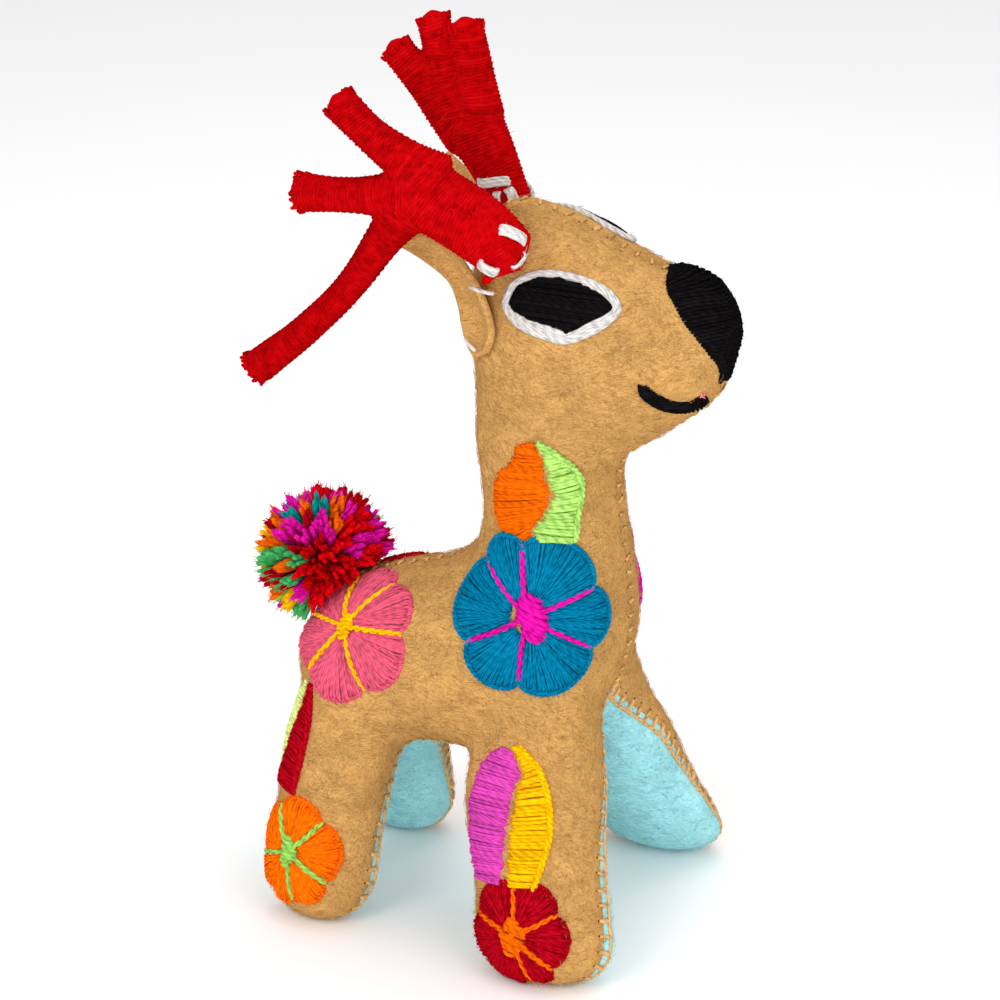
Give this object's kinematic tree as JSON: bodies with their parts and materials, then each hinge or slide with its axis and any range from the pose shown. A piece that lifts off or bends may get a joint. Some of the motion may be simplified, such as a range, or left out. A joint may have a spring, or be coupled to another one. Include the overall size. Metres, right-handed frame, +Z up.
{
  "type": "stuffed felt deer",
  "caption": "Hand-sewn stuffed felt deer with embroidered flowers, leaves, eyes and nose, yarn-wrapped antlers, felt ears and a yarn pompom tail.",
  "frame": {"origin": "on the ground, midway between the four feet and midway between nose and tail", "axes": "+X towards the nose, +Y towards the deer's left side, +Z up"},
  "size_m": [0.1334, 0.0972, 0.2281],
  "materials": {
    "antler_yarn": "matt wool yarn",
    "black_thread": "twisted thread",
    "blue_felt": "fuzzy wool felt",
    "blue_satin": "satin-stitched embroidery wool",
    "crimson_satin": "satin-stitched embroidery wool",
    "filling": "loose polyester fibre",
    "green_satin": "satin-stitched embroidery wool",
    "lime_satin": "satin-stitched embroidery wool",
    "magenta_satin": "satin-stitched embroidery wool",
    "orange_satin": "satin-stitched embroidery wool",
    "orchid_satin": "satin-stitched embroidery wool",
    "pale_lime_satin": "satin-stitched embroidery wool",
    "pink_thread": "twisted thread",
    "pompom_yarn": "matt wool yarn",
    "rose_satin": "satin-stitched embroidery wool",
    "seam_thread": "twisted thread",
    "tan_felt": "fuzzy wool felt",
    "teal_satin": "satin-stitched embroidery wool",
    "tie_thread": "twisted thread",
    "violet_satin": "satin-stitched embroidery wool",
    "white_yarn": "matt wool yarn",
    "wire": "plain drawn wire",
    "yellow_satin": "satin-stitched embroidery wool"
  },
  "bodies": {
    "deer": {"side_felt_right": "tan_felt", "side_felt_left": "tan_felt", "underbody_felt": "blue_felt", "fibre_filling": "filling", "leg_seam_thread_right": "seam_thread", "leg_seam_thread_left": "seam_thread", "middle_seam_thread": "seam_thread", "eye_right": "black_thread", "eye_left": "black_thread", "eye_outline_right": "white_yarn", "eye_outline_left": "white_yarn", "nose": "black_thread", "mouth_right": "black_thread", "mouth_left": "black_thread", "lip_stitch": "pink_thread", "shoulder_petals_right": "blue_satin", "shoulder_spokes_right": "magenta_satin", "rump_petals_right": "rose_satin", "rump_spokes_right": "yellow_satin", "front_foot_petals_right": "crimson_satin", "front_foot_spokes_right": "orange_satin", "rear_foot_petals_right": "orange_satin", "rear_foot_spokes_right": "green_satin", "shoulder_leaf_rear_right": "orange_satin", "shoulder_leaf_front_right": "lime_satin", "front_leg_leaf_rear_right": "orchid_satin", "front_leg_leaf_front_right": "yellow_satin", "rear_leg_leaf_rear_right": "pale_lime_satin", "rear_leg_leaf_front_right": "crimson_satin", "shoulder_petals_left": "magenta_satin", "shoulder_spokes_left": "yellow_satin", "rump_petals_left": "crimson_satin", "rump_spokes_left": "lime_satin", "front_foot_petals_left": "crimson_satin", "front_foot_spokes_left": "yellow_satin", "rear_foot_petals_left": "violet_satin", "rear_foot_spokes_left": "orange_satin", "shoulder_leaf_rear_left": "green_satin", "shoulder_leaf_front_left": "yellow_satin", "front_leg_leaf_rear_left": "teal_satin", "front_leg_leaf_front_left": "orange_satin", "rear_leg_leaf_rear_left": "yellow_satin", "rear_leg_leaf_front_left": "rose_satin"},
    "ear_right": {"ear_right": "tan_felt"},
    "ear_left": {"ear_left": "tan_felt"},
    "antler_right": {"antler_yarn_right": "antler_yarn", "antler_wire_right": "wire", "antler_tacks_right": "white_yarn"},
    "antler_left": {"antler_yarn_left": "antler_yarn", "antler_wire_left": "wire", "antler_tacks_left": "white_yarn"},
    "tail_tie": {"pompom_tie": "tie_thread"},
    "pompom": {"pompom_yarn": "pompom_yarn"}
  },
  "joints": [
    {"name": "ear_right_flap", "type": "hinge", "parent": "deer", "child": "ear_right", "pos_m": [0.0045, -0.0145, 0.1675], "axis": [0.698, 0, 0.7161], "range_deg": [-14, 4], "stiffness_Nm_per_rad": 0.002},
    {"name": "ear_left_flap", "type": "hinge", "parent": "deer", "child": "ear_left", "pos_m": [0.0035, 0.011, 0.1765], "axis": [0.7493, 0, 0.6623], "range_deg": [-4, 14], "stiffness_Nm_per_rad": 0.002},
    {"name": "antler_right_lean", "type": "hinge", "parent": "deer", "child": "antler_right", "pos_m": [0.0155, -0.0225, 0.178], "axis": [0, 1, 0], "range_deg": [-3, 12], "stiffness_Nm_per_rad": 0.02},
    {"name": "antler_left_lean", "type": "hinge", "parent": "deer", "child": "antler_left", "pos_m": [0.002, 0.0235, 0.177], "axis": [0, 1, 0], "range_deg": [-12, 8], "stiffness_Nm_per_rad": 0.02},
    {"name": "tail_tie_lift", "type": "hinge", "parent": "deer", "child": "tail_tie", "pos_m": [-0.0415, 0, 0.084], "axis": [0, 1, 0], "range_deg": [-5, 5], "stiffness_Nm_per_rad": 0.01},
    {"name": "pompom_twist", "type": "hinge", "parent": "tail_tie", "child": "pompom", "pos_m": [-0.0415, 0, 0.084], "axis": [-0.6601, 0, 0.7511], "range_deg": [-10, 10], "stiffness_Nm_per_rad": 0.01}
  ]
}
